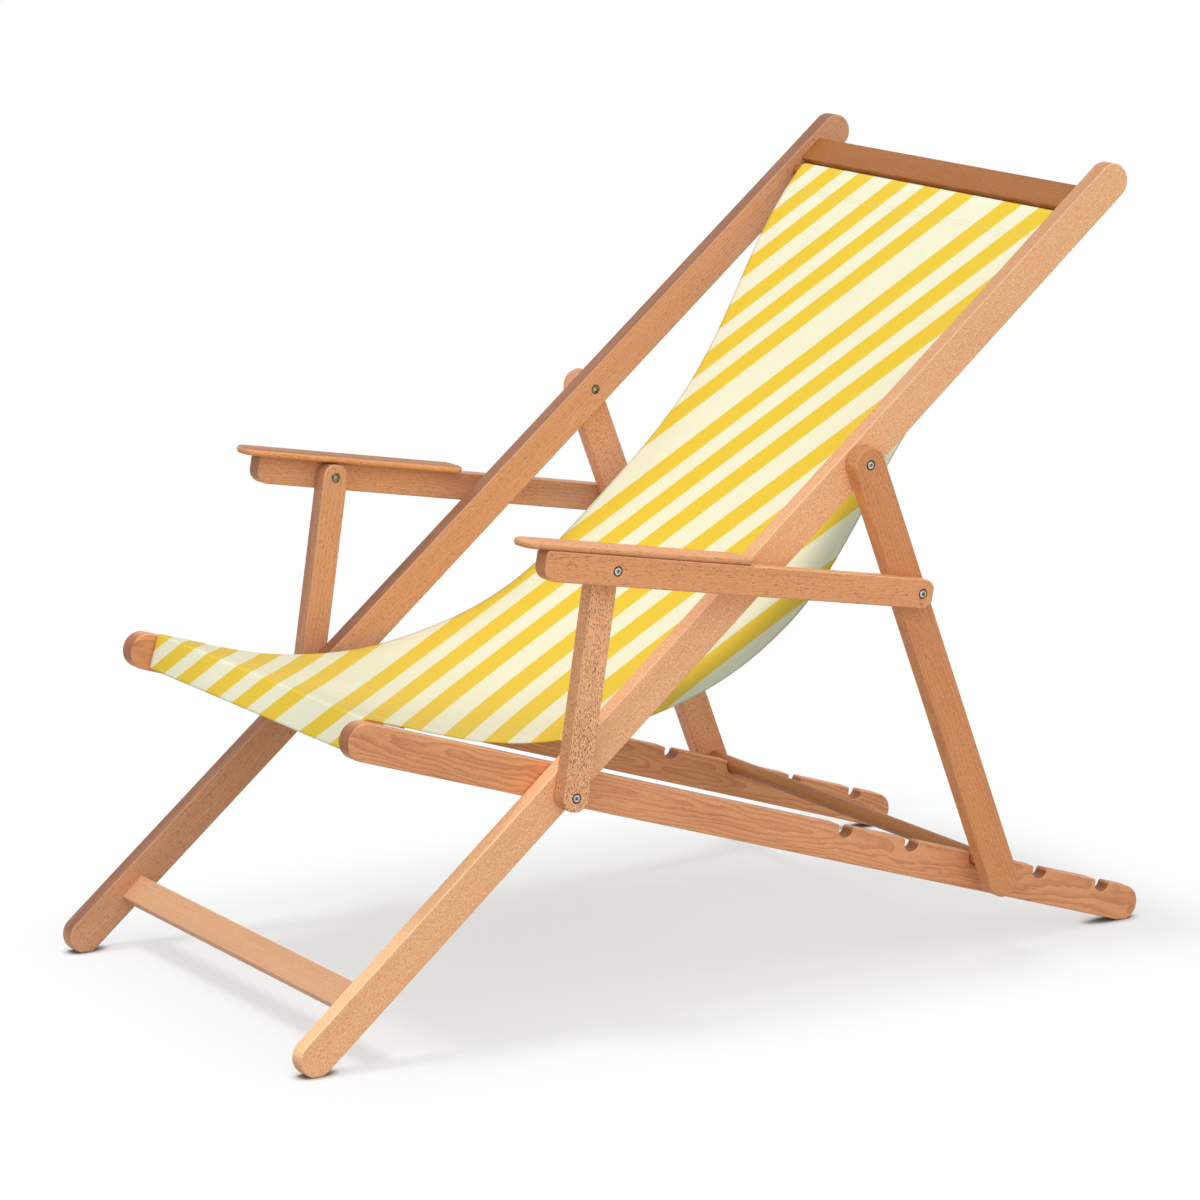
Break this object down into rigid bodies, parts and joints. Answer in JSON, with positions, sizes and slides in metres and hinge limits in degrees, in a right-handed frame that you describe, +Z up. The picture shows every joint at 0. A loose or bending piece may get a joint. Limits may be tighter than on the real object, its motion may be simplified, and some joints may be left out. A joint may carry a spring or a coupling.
{
  "type": "deck chair",
  "caption": "Folding wooden deck chair with armrests: a striped fabric sling hangs between a main frame and a notched seat frame, held open by a prop.",
  "frame": {"origin": "on the floor, under the middle of the chair: the centre of the bounding box at its lowest face", "axes": "+Z is up, the sitter faces -Y, and +X is the sitter's left, along the pivots and crossbars"},
  "size_m": [0.5658, 0.9836, 0.7789],
  "materials": {
    "wood": "oiled beech, satin",
    "wood_dark": "oiled beech, darker pieces, satin",
    "metal": "zinc-plated steel",
    "cloth": "woven canvas with diagonal yellow and cream stripes"
  },
  "bodies": {
    "main_frame": {"main_rail_left": "wood", "main_rail_right": "wood", "top_crossbar": "wood_dark", "hem_rod": "wood_dark", "foot_stretcher": "wood", "seat_pivot_bolts": "metal", "seat_pivot_nuts": "metal", "prop_pivot_bolts": "metal", "prop_pivot_nuts": "metal", "pivot_washers": "metal", "sling": "cloth"},
    "seat_frame": {"seat_rail_left": "wood", "seat_rail_right": "wood", "front_crossbar": "wood_dark"},
    "prop": {"prop_leg_left": "wood", "prop_leg_right": "wood", "prop_crossbar": "wood_dark", "elbow_nuts": "metal", "elbow_washers": "metal"},
    "post_left": {"arm_post_left": "wood"},
    "post_right": {"arm_post_right": "wood"},
    "arm_left": {"arm_rail_left": "wood", "armrest_left": "wood", "arm_bolts_left": "metal", "arm_nut_left": "metal", "arm_washer_left": "metal", "armrest_screws_left": "metal"},
    "arm_right": {"arm_rail_right": "wood", "armrest_right": "wood", "arm_bolts_right": "metal", "arm_nut_right": "metal", "arm_washer_right": "metal", "armrest_screws_right": "metal"}
  },
  "joints": [
    {"name": "seat_frame", "type": "hinge", "parent": "main_frame", "child": "seat_frame", "pos_m": [0, -0.20763, 0.2306], "axis": [1, 0, 0], "range_deg": [-5.5, 57.5], "deforming": ["sling"]},
    {"name": "prop_fold", "type": "hinge", "parent": "main_frame", "child": "prop", "pos_m": [0, 0.12246, 0.51245], "axis": [1, 0, 0], "range_deg": [0, 109.1]},
    {"name": "post_left", "type": "hinge", "parent": "main_frame", "child": "post_left", "pos_m": [0.2542, -0.20763, 0.2306], "axis": [1, 0, 0], "range_deg": [-40.98, 0]},
    {"name": "post_right", "type": "hinge", "parent": "main_frame", "child": "post_right", "pos_m": [-0.2542, -0.20763, 0.2306], "axis": [1, 0, 0], "range_deg": [-40.98, 0]},
    {"name": "arm_left", "type": "hinge", "parent": "post_left", "child": "arm_left", "pos_m": [0.2734, -0.17527, 0.44619], "axis": [1, 0, 0], "range_deg": [0, 91.47]},
    {"name": "arm_right", "type": "hinge", "parent": "post_right", "child": "arm_right", "pos_m": [-0.2734, -0.17527, 0.44619], "axis": [1, 0, 0], "range_deg": [0, 91.47]}
  ],
  "couplings": [
    {"joint": "post_left", "follows": "prop_fold", "ratio": -0.37551},
    {"joint": "post_right", "follows": "prop_fold", "ratio": -0.37551},
    {"joint": "arm_left", "follows": "prop_fold", "ratio": 0.83828},
    {"joint": "arm_right", "follows": "prop_fold", "ratio": 0.83828}
  ]
}
